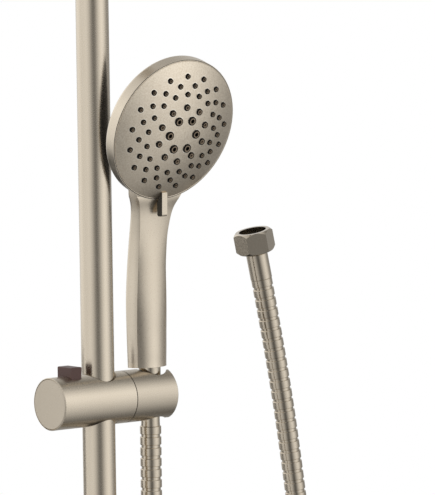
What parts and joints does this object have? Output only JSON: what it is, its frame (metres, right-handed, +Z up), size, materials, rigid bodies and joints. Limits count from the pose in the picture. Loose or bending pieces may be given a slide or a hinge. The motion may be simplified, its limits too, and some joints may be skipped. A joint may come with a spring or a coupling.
{
  "type": "hand shower on a slide bar",
  "caption": "Hand shower with a round tilted head and spray lever, hung in a swivel holder that slides on a wall bar, with its ribbed metal hose.",
  "frame": {"origin": "on the wall plane, half way between the two wall screw holes", "axes": "+Z up along the bar, +Y into the wall, +X to the right along the wall seen from the room"},
  "size_m": [0.237, 0.0943, 0.8273],
  "materials": {
    "satin_nickel": "satin brushed nickel, warm grey",
    "plated_shell": "plated plastic with a satin brushed nickel finish",
    "hose_metal": "satin metal wrap over an inner tube",
    "steel": "plain steel",
    "inner_plastic": "moulded dark plastic",
    "button_brown": "dark brown satin plastic",
    "nozzle_rubber": "soft dark silicone",
    "seal_rubber": "black seal rubber"
  },
  "bodies": {
    "rail": {"slide_bar": "satin_nickel", "upper_post": "satin_nickel", "lower_post": "satin_nickel", "upper_flange": "satin_nickel", "lower_flange": "satin_nickel", "upper_bracket": "steel", "lower_bracket": "steel", "upper_grub_screw": "steel", "lower_grub_screw": "steel"},
    "carriage": {"bar_bush": "inner_plastic"},
    "slider": {"slider_body": "satin_nickel", "slider_end_cap": "satin_nickel", "swivel_stud": "steel", "swivel_washer": "inner_plastic", "spring_washer": "steel"},
    "button": {"lock_button": "button_brown"},
    "brake": {"brake_shoe": "inner_plastic"},
    "holder": {"holder_body": "satin_nickel", "holder_liner": "inner_plastic"},
    "hose_line": {"hose": "hose_metal", "hose_cone": "hose_metal", "stem_o_ring": "seal_rubber", "hose_end_sleeve": "hose_metal", "hose_end_washer": "seal_rubber"},
    "end_nut": {"hose_end_nut": "hose_metal"},
    "hand_shower": {"handle_shell": "plated_shell", "handle_panel": "plated_shell", "inlet_socket": "inner_plastic", "water_tube": "inner_plastic", "spray_engine": "inner_plastic"},
    "selector": {"selector_disc": "inner_plastic", "selector_lever": "plated_shell", "spray_face": "plated_shell", "nozzle_mat": "nozzle_rubber"}
  },
  "joints": [
    {"name": "carriage_slide", "type": "slide", "parent": "rail", "child": "carriage", "axis": [0, 0, 1], "range_m": [-0.3, 0.09]},
    {"name": "slider_swing", "type": "hinge", "parent": "carriage", "child": "slider", "pos_m": [0, -0.047, -0.004], "axis": [0, 0, 1], "range_deg": [-80, 0]},
    {"name": "button_press", "type": "slide", "parent": "slider", "child": "button", "axis": [0, 0, -1], "range_m": [0, 0.003], "stiffness_N_per_m": 900},
    {"name": "brake_slide", "type": "slide", "parent": "slider", "child": "brake", "axis": [-1, 0, 0], "range_m": [0, 0.0008]},
    {"name": "holder_tilt", "type": "hinge", "parent": "slider", "child": "holder", "pos_m": [0, -0.047, -0.004], "axis": [1, 0, 0], "range_deg": [0, 45]},
    {"name": "hand_shower_lift", "type": "slide", "parent": "holder", "child": "hose_line", "axis": [0, 0, 1], "range_m": [0, 0.04]},
    {"name": "hand_shower_turn", "type": "hinge", "parent": "hose_line", "child": "hand_shower", "pos_m": [0.0444, -0.047, -0.004], "axis": [0, 0, 1], "range_deg": [0, 60]},
    {"name": "selector_turn", "type": "hinge", "parent": "hand_shower", "child": "selector", "pos_m": [0.0444, -0.0768, 0.1765], "axis": [0, -0.9511, -0.309], "range_deg": [-15, 15]},
    {"name": "end_nut_turn", "type": "hinge", "parent": "hose_line", "child": "end_nut", "pos_m": [0.144, -0.047, 0.068], "axis": [-0.2203, 0, 0.9754], "continuous": true}
  ],
  "couplings": [
    {"joint": "brake_slide", "follows": "button_press", "ratio": 0.25}
  ]
}
